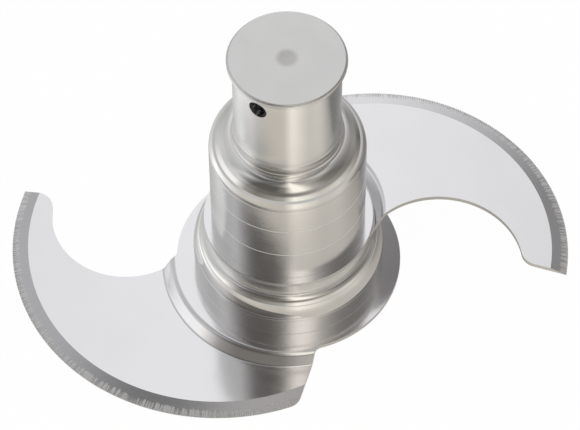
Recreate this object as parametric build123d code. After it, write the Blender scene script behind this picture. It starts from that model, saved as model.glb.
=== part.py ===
from build123d import *
from dataclasses import dataclass
import math
import os

# Two-blade knife head of a food processor, millimetres, +Z up.
# The origin is on the bore axis, in the plane that the head stands on.
# The lower blade reaches towards -X and the upper blade towards +X.

# Stack of turned rings, from the base up
FLANGE_HEIGHT = 6.0
SHEET = 2.0
SHOULDER_SPACER_HEIGHT = 28.3
PLAIN_SPACER_HEIGHT = 16.3
PLAIN_SPACER_COUNT = 2
PRESSURE_RING_HEIGHT = 28.4
FIT = 0.1
EDGE_BREAK = 0.8

# Drive bush, its bore, keyway and retaining ring
DRIVE_BORE_RADIUS = 10.0
BUSH_WALL = 3.9
BUSH_LENGTH = 36.0
BUSH_FLANGE_HEIGHT = 5.0
BUSH_FLANGE_WIDTH = 4.0
KEYWAY_WIDTH = 6.0
KEYWAY_DEPTH = 2.8
CIRCLIP_THICKNESS = 1.5
CIRCLIP_WIDTH = 2.6
CIRCLIP_BITE = 1.0
CIRCLIP_GAP_ANGLE = 40.0
CIRCLIP_EAR_RADIUS = 2.4
CIRCLIP_EAR_HOLE_RADIUS = 1.0

# Carrier sleeve, its flange and its threaded neck
SLEEVE_WALL = 7.0
FLANGE_WIDTH = 17.0
NECK_WALL = 4.0
NECK_ABOVE_STACK = 17.0
THREAD_OVERRUN = 1.5
SHOULDER_GAP = 0.6
WEB_HEIGHT = 9.0

# Key that holds the blades and rings in step
KEY_WIDTH = 8.0
KEY_DEPTH = 3.0
KEY_STAND = 2.6
KEY_ANGLE = 90.0
KEY_END_CLEARANCE = 1.5
KEY_SCREW_RADIUS = 2.0
KEY_SCREW_HEAD_RADIUS = 3.6
KEY_SCREW_SINK = 0.3
KEY_SCREW_SOCKET_RADIUS = 1.4
KEY_SCREW_SOCKET_DEPTH = 1.4
KEY_SCREW_PLACES = (0.25, 0.75)

# Face seals, with the steel that is left inside and outside their grooves
SEAL_WIDTH = 1.6
SEAL_HEIGHT = 1.5
SEAL_INNER_LAND = 1.0
SEAL_OUTER_LAND = 1.7
NECK_SEAL_INNER_LAND = 1.2
NECK_SEAL_OUTER_LAND = 1.3

# Shoulder spacer between the two blades
SHOULDER_COLLAR_STEP = 2.8
SHOULDER_COLLAR_HEIGHT = 6.8
SHOULDER_WIDTH = 5.0
SHOULDER_BEAD_HEIGHT = 10.8
SHOULDER_BEAD_STEP = 0.2
SHOULDER_LINE_DEPTH = 0.4
SHOULDER_LINE_WIDTH = 0.8

# Pressure ring under the cap nut
PRESSURE_COLLAR_HEIGHT = 3.0
PRESSURE_COLLAR_FILLET = 1.0
PRESSURE_WEB = 14.0

# Cap nut
CAP_HEIGHT = 44.7
CAP_WALL = 3.0
CAP_THREAD_RELIEF = 0.8
CAP_FOOT_STEP = 0.7
CAP_FOOT_HEIGHT = 1.2
CAP_RIM_STEP = 2.2
CAP_RIM_HEIGHT = 2.4
CAP_RIM_BREAK = 0.7
CAP_LID_THICKNESS = 4.0
BAR_HOLE_RADIUS = 4.0
BAR_HOLE_BELOW_TOP = 9.4
BAR_HOLE_ANGLE = -122.5

# Joggle that lowers one blade and lifts the other
JOGGLE_DEPTH = 4.5
JOGGLE_RUN = 3.8
BEND_RADIUS = 1.2

# Bevel and serration of both edges
BEVEL_WIDTH = 6.8
EDGE_LAND = 0.25
GROOVE_PITCH = 1.0
GROOVE_LENGTHS = (3.2, 2.9, 2.0, 2.3, 1.9, 2.2, 2.7, 2.1)
GROOVE_DEPTH = 0.35
GROOVE_FLANK = 1.0
GROOVE_CLEAR = 0.05
HEEL_MARGIN = 5.0
TIP_MARGIN = 1.0

# Straight sides that both arms share
HEEL_OFFSET = 26.0
HEEL_ANGLE = 72.4
HEEL_ROUND_SHARE = 0.4
TIP_END_ANGLE = -18.0

# Reach of tools that cut right through, and of half planes
OVERRUN = 1.0
BIG = 400.0

# Radii worked outwards from the drive bore
BUSH_RADIUS = DRIVE_BORE_RADIUS + BUSH_WALL
NECK_BORE_RADIUS = BUSH_RADIUS + FIT
NECK_RADIUS = NECK_BORE_RADIUS + NECK_WALL
SLEEVE_BORE_RADIUS = NECK_BORE_RADIUS + BUSH_FLANGE_WIDTH
SLEEVE_RADIUS = SLEEVE_BORE_RADIUS + SLEEVE_WALL
FLANGE_RADIUS = SLEEVE_RADIUS + FLANGE_WIDTH
KEY_SEAT_RADIUS = SLEEVE_RADIUS - KEY_DEPTH
KEY_TOP_RADIUS = SLEEVE_RADIUS + KEY_STAND
GROOVE_HALF = SEAL_WIDTH / 2 + FIT
SEAL_RADIUS = KEY_TOP_RADIUS + FIT + SEAL_INNER_LAND + GROOVE_HALF
STACK_RADIUS = SEAL_RADIUS + GROOVE_HALF + SEAL_OUTER_LAND
SHOULDER_COLLAR_RADIUS = STACK_RADIUS + SHOULDER_COLLAR_STEP
SHOULDER_WALL_RADIUS = SHOULDER_COLLAR_RADIUS + SHOULDER_WIDTH
NECK_SEAL_RADIUS = NECK_RADIUS + FIT + NECK_SEAL_INNER_LAND + GROOVE_HALF
PRESSURE_COLLAR_RADIUS = NECK_SEAL_RADIUS + GROOVE_HALF + NECK_SEAL_OUTER_LAND
CAP_CAVITY_RADIUS = NECK_RADIUS + CAP_THREAD_RELIEF
CAP_RADIUS = CAP_CAVITY_RADIUS + CAP_WALL
CAP_FOOT_RADIUS = CAP_RADIUS + CAP_FOOT_STEP
CAP_RIM_RADIUS = CAP_RADIUS + CAP_RIM_STEP


@dataclass
class Sickle:
    """Sizes of one blade, drawn with its arm towards -X and turned into place."""

    ring_radius: float
    hub_margin: float
    joggle_margin: float
    joggle: float
    edge_radius: float
    edge_offset: float
    edge_angle: float
    tip_angle: float
    tip_round: float
    tip_straight: bool
    arm_width: float
    hub_bite: float
    hollow_angle: float
    neck_fillet: float
    heel_round: float
    heel_fillet: float
    turn: float

    @property
    def hub_radius(self):
        return self.ring_radius + self.hub_margin

    @property
    def joggle_start(self):
        return self.hub_radius + self.joggle_margin

    @property
    def hollow_far(self):
        return self.edge_offset + self.edge_radius - self.arm_width

    @property
    def hollow_near(self):
        return self.hub_radius - self.hub_bite

    @property
    def hollow_radius(self):
        return (self.hollow_far - self.hollow_near) / 2

    @property
    def hollow_distance(self):
        return (self.hollow_far + self.hollow_near) / 2


LOWER = Sickle(
    ring_radius=SHOULDER_WALL_RADIUS,
    hub_margin=7.6,
    joggle_margin=2.1,
    joggle=-JOGGLE_DEPTH,
    edge_radius=89.2,
    edge_offset=31.8,
    edge_angle=157.6,
    tip_angle=162.2,
    tip_round=8.0,
    tip_straight=True,
    arm_width=14.5,
    hub_bite=6.5,
    hollow_angle=159.8,
    neck_fillet=3.0,
    heel_round=7.0,
    heel_fillet=4.0,
    turn=0.0,
)
UPPER = Sickle(
    ring_radius=SHOULDER_COLLAR_RADIUS,
    hub_margin=0.3,
    joggle_margin=0.5,
    joggle=JOGGLE_DEPTH,
    edge_radius=79.8,
    edge_offset=40.4,
    edge_angle=153.0,
    tip_angle=169.0,
    tip_round=7.0,
    tip_straight=False,
    arm_width=17.2,
    hub_bite=0.3,
    hollow_angle=155.4,
    neck_fillet=3.0,
    heel_round=5.0,
    heel_fillet=3.0,
    turn=180.0,
)

# Heights worked out from the stack
LOWER_BLADE_Z = FLANGE_HEIGHT
SHOULDER_SPACER_Z = LOWER_BLADE_Z + SHEET
UPPER_BLADE_Z = SHOULDER_SPACER_Z + SHOULDER_SPACER_HEIGHT
PLAIN_SPACER_Z = UPPER_BLADE_Z + SHEET
PRESSURE_RING_Z = PLAIN_SPACER_Z + PLAIN_SPACER_COUNT * PLAIN_SPACER_HEIGHT
CAP_Z = PRESSURE_RING_Z + PRESSURE_RING_HEIGHT
TOP_Z = CAP_Z + CAP_HEIGHT
WEB_TOP_Z = CAP_Z - PRESSURE_WEB - SHOULDER_GAP
WEB_Z = WEB_TOP_Z - WEB_HEIGHT
NECK_TOP_Z = CAP_Z + NECK_ABOVE_STACK
BUSH_Z = WEB_Z - BUSH_FLANGE_HEIGHT
CIRCLIP_Z = BUSH_Z - CIRCLIP_THICKNESS
KEY_TOP_Z = WEB_TOP_Z - KEY_END_CLEARANCE


def polar(radius, angle):
    """Point of the plan at a radius and an angle in degrees."""
    turn = math.radians(angle)
    return Vector(radius * math.cos(turn), radius * math.sin(turn))


def turned(profile):
    """Solid of revolution from a face drawn as radius and height."""
    return revolve(Plane.XZ * profile, Axis.Z)


def section(*points):
    """Face with straight sides through radius and height pairs."""
    return make_face(Polyline(*points, close=True))


def tube(outer, inner, bottom, top):
    """Plain ring with square corners."""
    return turned(section((inner, bottom), (outer, bottom), (outer, top), (inner, top)))


def corner(sketch, point):
    """Corner of a sketch that lies closest to a point."""
    return sketch.vertices().sort_by_distance(Vector(point))[0]


def along_key(radius, width, bottom, top):
    """Box from the axis out to a radius, on the side where the key lies."""
    bar = Box(radius, width, top - bottom, align=(Align.MIN, Align.CENTER, Align.MIN))
    return Rot(0, 0, KEY_ANGLE) * Pos(0, 0, bottom) * bar


def key_notch(bottom, top):
    """What a bore leaves free for the sleeve and its key."""
    notch = along_key(KEY_TOP_RADIUS + FIT, KEY_WIDTH + 2 * FIT, bottom, top)
    return notch + tube(SLEEVE_RADIUS + FIT, 0, bottom, top)


def seal_groove(radius, face, side):
    """Groove for a face seal above (side 1) or below (side -1) a flat face."""
    other = face + side * (SEAL_HEIGHT + FIT)
    return tube(radius + GROOVE_HALF, radius - GROOVE_HALF, min(face, other), max(face, other))


def face_seal(radius, face, side):
    """Square rubber ring that fills its groove up to the flat face."""
    half = SEAL_WIDTH / 2
    other = face + side * SEAL_HEIGHT
    return tube(radius + half, radius - half, min(face, other), max(face, other))


def carrier_sleeve():
    """Flanged tube that carries the stack, with a threaded neck on top."""
    profile = section(
        (SLEEVE_BORE_RADIUS, 0),
        (FLANGE_RADIUS, 0),
        (FLANGE_RADIUS, FLANGE_HEIGHT),
        (SLEEVE_RADIUS, FLANGE_HEIGHT),
        (SLEEVE_RADIUS, WEB_TOP_Z),
        (NECK_RADIUS, WEB_TOP_Z),
        (NECK_RADIUS, NECK_TOP_Z),
        (NECK_BORE_RADIUS, NECK_TOP_Z),
        (NECK_BORE_RADIUS, WEB_Z),
        (SLEEVE_BORE_RADIUS, WEB_Z),
    )
    edges = [
        (SLEEVE_BORE_RADIUS, 0),
        (FLANGE_RADIUS, 0),
        (SLEEVE_RADIUS, WEB_TOP_Z),
        (NECK_RADIUS, NECK_TOP_Z),
    ]
    for point in edges:
        profile = chamfer(corner(profile, point), EDGE_BREAK)
    body = turned(profile)
    slot = along_key(SLEEVE_RADIUS + OVERRUN, KEY_WIDTH, FLANGE_HEIGHT, WEB_TOP_Z)
    slot -= tube(KEY_SEAT_RADIUS, 0, FLANGE_HEIGHT, WEB_TOP_Z)
    body -= slot
    body -= tube(SLEEVE_BORE_RADIUS + CIRCLIP_BITE + FIT, 0, CIRCLIP_Z - FIT, BUSH_Z)
    body -= seal_groove(SEAL_RADIUS, FLANGE_HEIGHT, -1)
    for height in key_screw_heights():
        hole = Cylinder(KEY_SCREW_RADIUS, 2 * SLEEVE_RADIUS, align=(Align.CENTER, Align.CENTER, Align.MIN))
        body -= Rot(0, 0, KEY_ANGLE) * Pos(0, 0, height) * Rot(0, 90, 0) * hole
    return body


def drive_bush():
    """Hardened bush that the motor shaft and its feather key drive."""
    bore = DRIVE_BORE_RADIUS
    body = tube(BUSH_RADIUS, bore, BUSH_Z, BUSH_Z + BUSH_LENGTH)
    body += tube(SLEEVE_BORE_RADIUS - FIT, bore, BUSH_Z, WEB_Z)
    keyway = Box(
        bore + KEYWAY_DEPTH,
        KEYWAY_WIDTH,
        BUSH_LENGTH,
        align=(Align.MIN, Align.CENTER, Align.MIN),
    )
    return body - Rot(0, 0, KEY_ANGLE) * Pos(0, 0, BUSH_Z) * keyway


def bush_circlip():
    """Internal retaining ring with two ears, in the sleeve under the bush."""
    outer = SLEEVE_BORE_RADIUS + CIRCLIP_BITE
    ring = Circle(outer) - Circle(outer - CIRCLIP_WIDTH)
    half = CIRCLIP_GAP_ANGLE / 2
    gap = make_face(Polyline((0, 0), polar(2 * outer, -half), polar(2 * outer, half), close=True))
    ring -= gap
    for side in (-1, 1):
        ear = outer - CIRCLIP_BITE - CIRCLIP_EAR_RADIUS
        place = Pos(*polar(ear, side * half))
        ring += place * Circle(CIRCLIP_EAR_RADIUS)
    for side in (-1, 1):
        ear = outer - CIRCLIP_BITE - CIRCLIP_EAR_RADIUS
        ring -= Pos(*polar(ear, side * half)) * Circle(CIRCLIP_EAR_HOLE_RADIUS)
    return Pos(0, 0, CIRCLIP_Z) * extrude(ring, CIRCLIP_THICKNESS)


def key_screw_heights():
    """Heights of the screws that hold the key."""
    return [FLANGE_HEIGHT + share * (KEY_TOP_Z - FLANGE_HEIGHT) for share in KEY_SCREW_PLACES]


def key_screw_shape(extra):
    """Shank and countersunk head of a key screw, along +X from the sleeve's bore."""
    start = SLEEVE_BORE_RADIUS + EDGE_BREAK
    top = KEY_TOP_RADIUS - KEY_SCREW_SINK
    head = KEY_SCREW_HEAD_RADIUS + extra
    shank = KEY_SCREW_RADIUS + extra
    profile = section(
        (0, start),
        (shank, start),
        (shank, top - head + shank),
        (head, top),
        (0, top),
    )
    return Rot(0, 90, 0) * turned(profile)


def key_screw_seat():
    """Room for a key screw, open to the key's outer face."""
    mouth = Cylinder(KEY_SCREW_HEAD_RADIUS + FIT, 2 * KEY_SCREW_SINK)
    return key_screw_shape(FIT) + Pos(KEY_TOP_RADIUS, 0, 0) * Rot(0, 90, 0) * mouth


def stack_key():
    """Long key in the sleeve that turns both blades and all rings."""
    bar = along_key(KEY_TOP_RADIUS, KEY_WIDTH - 2 * FIT, FLANGE_HEIGHT + FIT, KEY_TOP_Z)
    bar -= tube(KEY_SEAT_RADIUS + FIT, 0, FLANGE_HEIGHT, KEY_TOP_Z)
    for height in key_screw_heights():
        bar -= Rot(0, 0, KEY_ANGLE) * Pos(0, 0, height) * key_screw_seat()
    return bar


def key_screw(height):
    """Countersunk hexagon socket screw of the key."""
    body = key_screw_shape(0)
    top = KEY_TOP_RADIUS - KEY_SCREW_SINK
    socket = extrude(RegularPolygon(KEY_SCREW_SOCKET_RADIUS, 6), KEY_SCREW_SOCKET_DEPTH)
    body -= Pos(top - KEY_SCREW_SOCKET_DEPTH, 0, 0) * Rot(0, 90, 0) * socket
    return Rot(0, 0, KEY_ANGLE) * Pos(0, 0, height) * body


def shoulder_spacer():
    """Ring between the blades, with a rounded shoulder and a narrow collar."""
    bottom = SHOULDER_SPACER_Z
    top = UPPER_BLADE_Z
    wall = SHOULDER_WALL_RADIUS
    bead = wall + SHOULDER_BEAD_STEP
    bead_top = top - SHOULDER_COLLAR_HEIGHT
    bead_z = bead_top - SHOULDER_BEAD_HEIGHT
    collar = SHOULDER_COLLAR_RADIUS
    line = bead_z - SHOULDER_LINE_WIDTH
    outline = Polyline(
        (collar, bead_top),
        (collar, top),
        (SLEEVE_RADIUS, top),
        (SLEEVE_RADIUS, bottom),
        (wall, bottom),
        (wall, line - SHOULDER_LINE_WIDTH / 2),
        (bead - SHOULDER_LINE_DEPTH, line),
        (bead, line + SHOULDER_LINE_WIDTH / 2),
        (bead, bead_z),
    )
    outline += EllipticalCenterArc((collar, bead_z), bead - collar, SHOULDER_BEAD_HEIGHT, arc_size=90)
    body = turned(make_face(outline)) - key_notch(bottom, top)
    body -= seal_groove(SEAL_RADIUS, bottom, 1)
    return body - seal_groove(SEAL_RADIUS, top, -1)


def plain_spacer(index):
    """Plain ring above the upper blade."""
    bottom = PLAIN_SPACER_Z + index * PLAIN_SPACER_HEIGHT
    top = bottom + PLAIN_SPACER_HEIGHT
    body = tube(STACK_RADIUS, SLEEVE_RADIUS, bottom, top) - key_notch(bottom, top)
    return body - seal_groove(SEAL_RADIUS, bottom, 1)


def pressure_ring():
    """Top ring with a round shoulder, whose collar takes the nut's push."""
    bottom = PRESSURE_RING_Z
    top = CAP_Z
    web = top - PRESSURE_WEB
    round_top = top - PRESSURE_COLLAR_HEIGHT
    collar = PRESSURE_COLLAR_RADIUS
    shoulder = STACK_RADIUS - collar
    outline = Polyline(
        (collar, round_top),
        (collar, top),
        (NECK_RADIUS + FIT, top),
        (NECK_RADIUS + FIT, web),
        (SLEEVE_RADIUS, web),
        (SLEEVE_RADIUS, bottom),
        (STACK_RADIUS, bottom),
        (STACK_RADIUS, round_top - shoulder),
    )
    outline += CenterArc((collar, round_top - shoulder), shoulder, 0, 90)
    profile = make_face(outline)
    profile = fillet(corner(profile, (collar, round_top)), PRESSURE_COLLAR_FILLET)
    body = turned(profile) - key_notch(bottom, web)
    body -= seal_groove(SEAL_RADIUS, bottom, 1)
    return body - seal_groove(NECK_SEAL_RADIUS, top, -1)


def cap_nut():
    """Hollow nut with a rimmed lid and a cross hole for a bar."""
    thread_top = NECK_TOP_Z + THREAD_OVERRUN
    ceiling = TOP_Z - CAP_LID_THICKNESS
    rim = TOP_Z - CAP_RIM_HEIGHT
    cavity = CAP_CAVITY_RADIUS
    foot = CAP_Z + CAP_FOOT_HEIGHT
    profile = section(
        (0, TOP_Z),
        (0, ceiling),
        (cavity, ceiling),
        (cavity, thread_top),
        (NECK_RADIUS + FIT, thread_top),
        (NECK_RADIUS + FIT, CAP_Z),
        (CAP_FOOT_RADIUS, CAP_Z),
        (CAP_FOOT_RADIUS, foot),
        (CAP_RADIUS, foot + CAP_FOOT_STEP),
        (CAP_RADIUS, rim),
        (CAP_RIM_RADIUS, rim),
        (CAP_RIM_RADIUS, TOP_Z),
    )
    profile = chamfer(corner(profile, (CAP_RIM_RADIUS, rim)), CAP_RIM_BREAK)
    profile = chamfer(corner(profile, (CAP_RIM_RADIUS, TOP_Z)), CAP_RIM_BREAK)
    bar = Cylinder(BAR_HOLE_RADIUS, 2 * CAP_RIM_RADIUS)
    bar = Rot(0, 0, BAR_HOLE_ANGLE) * Pos(0, 0, TOP_Z - BAR_HOLE_BELOW_TOP) * Rot(0, 90, 0) * bar
    return turned(profile) - bar


def side_of(point, angle):
    """Half of the plan to the left of a line through a point."""
    return Pos(point) * Rot(0, 0, angle) * Rectangle(BIG, BIG, align=(Align.CENTER, Align.MIN))


def edge_centre(blade):
    """Centre of the arc that the cutting edge follows."""
    return polar(blade.edge_offset, blade.edge_angle)


def tip_corner(blade):
    """Where the cutting edge meets the short end of the tip."""
    return edge_centre(blade) + polar(blade.edge_radius, blade.tip_angle)


def heel_line_point(centre, radius):
    """Where the heel's straight side leaves a circle, on the side of -Y."""
    along = polar(1, HEEL_ANGLE + 180)
    start = Vector(HEEL_OFFSET, 0) - centre
    shift = start.dot(along)
    return centre + start + along * (math.sqrt(shift**2 - start.dot(start) + radius**2) - shift)


def neck_point(blade):
    """Where the hollow side meets the hub, on the side of -Y."""
    reach = blade.hollow_distance
    along = (reach**2 + blade.hub_radius**2 - blade.hollow_radius**2) / (2 * reach)
    across = math.sqrt(blade.hub_radius**2 - along**2)
    return polar(along, blade.hollow_angle) + polar(across, blade.hollow_angle + 90)


def sickle_outline(blade):
    """Plan of one blade: hub disc, bowed cutting edge, hollow back and blunt tip."""
    centre = edge_centre(blade)
    hollow = polar(blade.hollow_distance, blade.hollow_angle)
    hollow_left = hollow.X - blade.hollow_radius
    open_from = hollow_left if blade.tip_straight else hollow.X
    heel_on_hub = heel_line_point(Vector(0, 0), blade.hub_radius)
    heel_on_edge = heel_line_point(centre, blade.edge_radius)
    heel_limit = HEEL_ROUND_SHARE * (heel_on_edge - heel_on_hub).length
    tip = tip_corner(blade)
    tip_inner_y = tip.Y + (hollow_left - tip.X) * math.tan(math.radians(TIP_END_ANGLE))
    arm = Pos(centre) * Circle(blade.edge_radius)
    arm -= side_of((HEEL_OFFSET, 0), HEEL_ANGLE + 180)
    arm -= side_of(tip, TIP_END_ANGLE) & side_of(hollow, 90)
    arm -= Pos(hollow) * Circle(blade.hollow_radius)
    arm -= Pos(open_from, hollow.Y) * Rectangle(BIG, BIG, align=(Align.MIN, Align.MIN))
    arm -= side_of((0, 0), blade.hollow_angle + 180) & side_of(hollow, -90)
    plan = Circle(blade.hub_radius) + arm
    rounds = [
        ((hollow_left, tip_inner_y), blade.tip_round),
        (neck_point(blade), blade.neck_fillet),
        (heel_on_hub, min(blade.heel_fillet, heel_limit)),
        (heel_on_edge, min(blade.heel_round, heel_limit)),
    ]
    for point, radius in rounds:
        plan = fillet(corner(plan, point), radius)
    return plan


def joggled_disc(blade, bottom, reach):
    """Disc of sheet whose rim is pressed down or up, with rounded bends."""
    top = bottom + SHEET
    way = math.copysign(1, blade.joggle)
    slope = math.atan2(abs(blade.joggle), JOGGLE_RUN)
    shift = way * SHEET * math.tan(slope / 2)
    start = blade.joggle_start
    end = start + JOGGLE_RUN
    inner = SLEEVE_RADIUS / 2
    profile = section(
        (inner, bottom),
        (start + shift, bottom),
        (end + shift, bottom + blade.joggle),
        (reach, bottom + blade.joggle),
        (reach, top + blade.joggle),
        (end, top + blade.joggle),
        (start, top),
        (inner, top),
    )
    tight, wide = BEND_RADIUS, BEND_RADIUS + SHEET
    bends = [
        ((start, top), tight if way > 0 else wide),
        ((start + shift, bottom), wide if way > 0 else tight),
        ((end, top + blade.joggle), wide if way > 0 else tight),
        ((end + shift, bottom + blade.joggle), tight if way > 0 else wide),
    ]
    for point, radius in bends:
        profile = fillet(corner(profile, point), radius)
    return turned(profile)


def bevel_cut(blade, top):
    """Ring that grinds the top of the edge down to its thin land."""
    drop = SHEET - EDGE_LAND
    outer = blade.edge_radius + OVERRUN
    inner = blade.edge_radius - BEVEL_WIDTH
    low = top - drop * (outer - inner) / BEVEL_WIDTH
    high = top + OVERRUN
    ring = turned(section((inner, top), (outer, low), (outer, high), (inner, high)))
    arm_side = side_of((HEEL_OFFSET, 0), HEEL_ANGLE)
    keep = Pos(0, 0, low - OVERRUN) * extrude(arm_side, high - low + 2 * OVERRUN)
    return (Pos(edge_centre(blade)) * ring) & keep


def groove(blade, bottom, length, angle):
    """Three-sided wedge that grinds one groove across the outer bevel."""
    fall = (SHEET - EDGE_LAND) / BEVEL_WIDTH
    start = blade.edge_radius - length
    end = blade.edge_radius + GROOVE_DEPTH
    start_z = bottom + EDGE_LAND + fall * length + GROOVE_CLEAR
    edge_z = bottom + EDGE_LAND - GROOVE_DEPTH
    end_z = edge_z - (start_z - edge_z) * GROOVE_DEPTH / length
    roof_z = bottom + EDGE_LAND + GROOVE_DEPTH / 2
    half = GROOVE_FLANK * (roof_z - end_z)
    apex = Vector(start, 0, start_z)
    root = Vector(end, 0, end_z)
    left = Vector(end, half, roof_z)
    right = Vector(end, -half, roof_z)
    sides = [(apex, left, root), (apex, root, right), (apex, right, left), (root, left, right)]
    faces = [Face(Wire.make_polygon(side, close=True)) for side in sides]
    wedge = Solid(Shell(faces))
    return Pos(edge_centre(blade)) * Rot(0, 0, angle) * wedge


def serration(blade, bottom):
    """All grooves of one edge, in the rhythm of the groove lengths."""
    centre = edge_centre(blade)
    heel = heel_line_point(centre, blade.edge_radius) - centre
    first = math.degrees(math.atan2(heel.Y, heel.X)) % 360 - 360
    first -= math.degrees(HEEL_MARGIN / blade.edge_radius)
    last = blade.tip_angle - 360 + math.degrees(TIP_MARGIN / blade.edge_radius)
    step = math.degrees(GROOVE_PITCH / blade.edge_radius)
    count = int((first - last) / step)
    cycle = len(GROOVE_LENGTHS)
    return [
        groove(blade, bottom, GROOVE_LENGTHS[index % cycle], first - index * step)
        for index in range(count)
    ]


def sickle_blade(blade, bottom):
    """Pressed, bevelled and serrated blade, keyed to the sleeve."""
    plan = sickle_outline(blade)
    low = bottom + min(blade.joggle, 0)
    high = bottom + SHEET + max(blade.joggle, 0)
    reach = blade.edge_radius + blade.edge_offset + OVERRUN
    body = joggled_disc(blade, bottom, reach)
    body &= Pos(0, 0, low - OVERRUN) * extrude(plan, high - low + 2 * OVERRUN)
    plate = bottom + blade.joggle
    body -= bevel_cut(blade, plate + SHEET)
    body -= serration(blade, plate)
    body = Rot(0, 0, blade.turn) * body
    return body - key_notch(bottom, bottom + SHEET)


def write(name, body):
    """One STEP file for one node."""
    body.label = name
    export_step(body, f"parts/{name}.step")


def main():
    os.makedirs("parts", exist_ok=True)
    write("carrier_sleeve", carrier_sleeve())
    write("drive_bush", drive_bush())
    write("bush_circlip", bush_circlip())
    write("stack_key", stack_key())
    for number, height in enumerate(key_screw_heights(), start=1):
        write(f"key_screw_{number}", key_screw(height))
    write("lower_blade", sickle_blade(LOWER, LOWER_BLADE_Z))
    write("shoulder_spacer", shoulder_spacer())
    write("upper_blade", sickle_blade(UPPER, UPPER_BLADE_Z))
    for index in range(PLAIN_SPACER_COUNT):
        write(f"plain_spacer_{index + 1}", plain_spacer(index))
    write("pressure_ring", pressure_ring())
    write("cap_nut", cap_nut())
    write("lower_blade_bottom_seal", face_seal(SEAL_RADIUS, LOWER_BLADE_Z, -1))
    write("lower_blade_top_seal", face_seal(SEAL_RADIUS, SHOULDER_SPACER_Z, 1))
    write("upper_blade_bottom_seal", face_seal(SEAL_RADIUS, UPPER_BLADE_Z, -1))
    write("upper_blade_top_seal", face_seal(SEAL_RADIUS, PLAIN_SPACER_Z, 1))
    for index in range(1, PLAIN_SPACER_COUNT):
        height = PLAIN_SPACER_Z + index * PLAIN_SPACER_HEIGHT
        write(f"spacer_seal_{index}", face_seal(SEAL_RADIUS, height, 1))
    write("pressure_ring_seal", face_seal(SEAL_RADIUS, PRESSURE_RING_Z, 1))
    write("cap_seal", face_seal(NECK_SEAL_RADIUS, CAP_Z, -1))


main()
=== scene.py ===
import math

import bmesh
import bpy
import numpy as np
from mathutils import Matrix, Vector

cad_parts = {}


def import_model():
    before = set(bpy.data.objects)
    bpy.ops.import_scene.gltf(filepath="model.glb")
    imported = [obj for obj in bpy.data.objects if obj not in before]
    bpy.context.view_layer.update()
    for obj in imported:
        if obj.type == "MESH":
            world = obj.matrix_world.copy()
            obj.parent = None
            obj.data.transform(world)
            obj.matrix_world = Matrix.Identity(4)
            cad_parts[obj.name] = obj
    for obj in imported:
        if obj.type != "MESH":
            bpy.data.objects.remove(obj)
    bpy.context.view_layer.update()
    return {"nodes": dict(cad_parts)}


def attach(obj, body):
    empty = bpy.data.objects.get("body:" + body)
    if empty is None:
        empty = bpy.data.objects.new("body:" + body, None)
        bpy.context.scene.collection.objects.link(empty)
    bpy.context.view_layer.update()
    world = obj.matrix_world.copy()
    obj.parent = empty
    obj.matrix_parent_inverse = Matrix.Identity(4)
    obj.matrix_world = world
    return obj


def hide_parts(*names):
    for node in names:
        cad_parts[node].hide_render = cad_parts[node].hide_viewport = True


# Sizes in millimetres, heights above the plane that the head stands on
MM = 0.001
AROUND = 240

# Stack of rings and blades, as the solids have it
SHEET = 2.0
LOWER_Z = 6.0
SHOULDER_Z = LOWER_Z + SHEET
UPPER_Z = 36.3
SPACER_Z = UPPER_Z + SHEET
SPACER_HEIGHT = 16.3
PRESSURE_Z = SPACER_Z + 2 * SPACER_HEIGHT
CAP_Z = 99.3
TOP_Z = 144.0
STACK_RADIUS = 32.2
BORE = 25.1
EDGE_ROUND = 0.22
SEAM_WIDTH = 0.3
SEAM_DROP = 0.22

# Seal grooves, and the notches for the key
SEAL_RADIUS = 29.6
CAP_SEAL_RADIUS = 20.2
SEAL_HALF_WIDTH = 0.9
SEAL_DEPTH = 1.6
NOTCH_START = 20.0
NOTCH_REACH = 27.7
NOTCH_HALF_WIDTH = 4.1

# Shoulder spacer, with its bead's root given as steps out from the collar and up from the bead
FOOT_RADIUS = 40.0
COLLAR_RADIUS = 35.0
COLLAR_HEIGHT = 6.8
BEAD_WIDTH = 5.2
BEAD_HEIGHT = 10.8
BEAD_END = 86
BEAD_ROOT = ((0.25, 0.02), (0.05, 0.12), (0.0, 0.35))
TURNED_LINE_DROP = 0.8
TURNED_LINE_HALF = 0.4
TURNED_LINE_DEPTH = 0.2

# Pressure ring
WEB_DROP = 14.0
NECK_COLLAR_RADIUS = 22.4
NECK_COLLAR_HEIGHT = 3.0
NECK_COLLAR_FILLET = 1.0
SHOULDER_ROUND = STACK_RADIUS - NECK_COLLAR_RADIUS
FINE_LINE_DROP = 2.0
FINE_LINE_HALF = 0.3
FINE_LINE_DEPTH = 0.12

# Cap nut, with the lid's slight hollow given as radius and depth
LID_HOLLOW = ((0, 0.05), (2.0, 0.04), (4.0, 0))
RIM_RADIUS = 24.0
RIM_HEIGHT = 2.4
RIM_ROUND = 1.1
WAIST_RADIUS = 21.8
WAIST_FILLET = 0.8
CAP_FOOT_RADIUS = 22.5
CAP_FOOT_HEIGHT = 1.2
CAP_FOOT_FILLET = 0.4
CAP_BORE = 18.1
CAP_THREAD_TOP = 117.8
CAP_HOLLOW_RADIUS = 18.8
CAP_HOLLOW_TOP = 140.0
BAR_HOLE_RADIUS = 4.0
BAR_HOLE_Z = 134.6
BAR_HOLE_ANGLE = -122.5

# Carrier sleeve
FLANGE_RADIUS = 42.0
SLEEVE_CHAMFER = 0.8
TUBE_RADIUS = 25.0
TUBE_TOP = 84.7
TUBE_BORE = 18.0
NECK_RADIUS = 18.0
NECK_TOP = 116.3
BUSH_SEAT_RADIUS = 14.0
BUSH_SEAT_Z = 75.7
CIRCLIP_GROOVE_RADIUS = 19.1
CIRCLIP_GROOVE_TOP = 70.7
CIRCLIP_GROOVE_BOTTOM = 69.1
KEY_SLOT_FLOOR = 22.0
KEY_SLOT_HALF_WIDTH = 4.0
KEY_SCREW_RADIUS = 2.0
KEY_SCREW_HEIGHTS = (25.3, 63.9)

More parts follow.
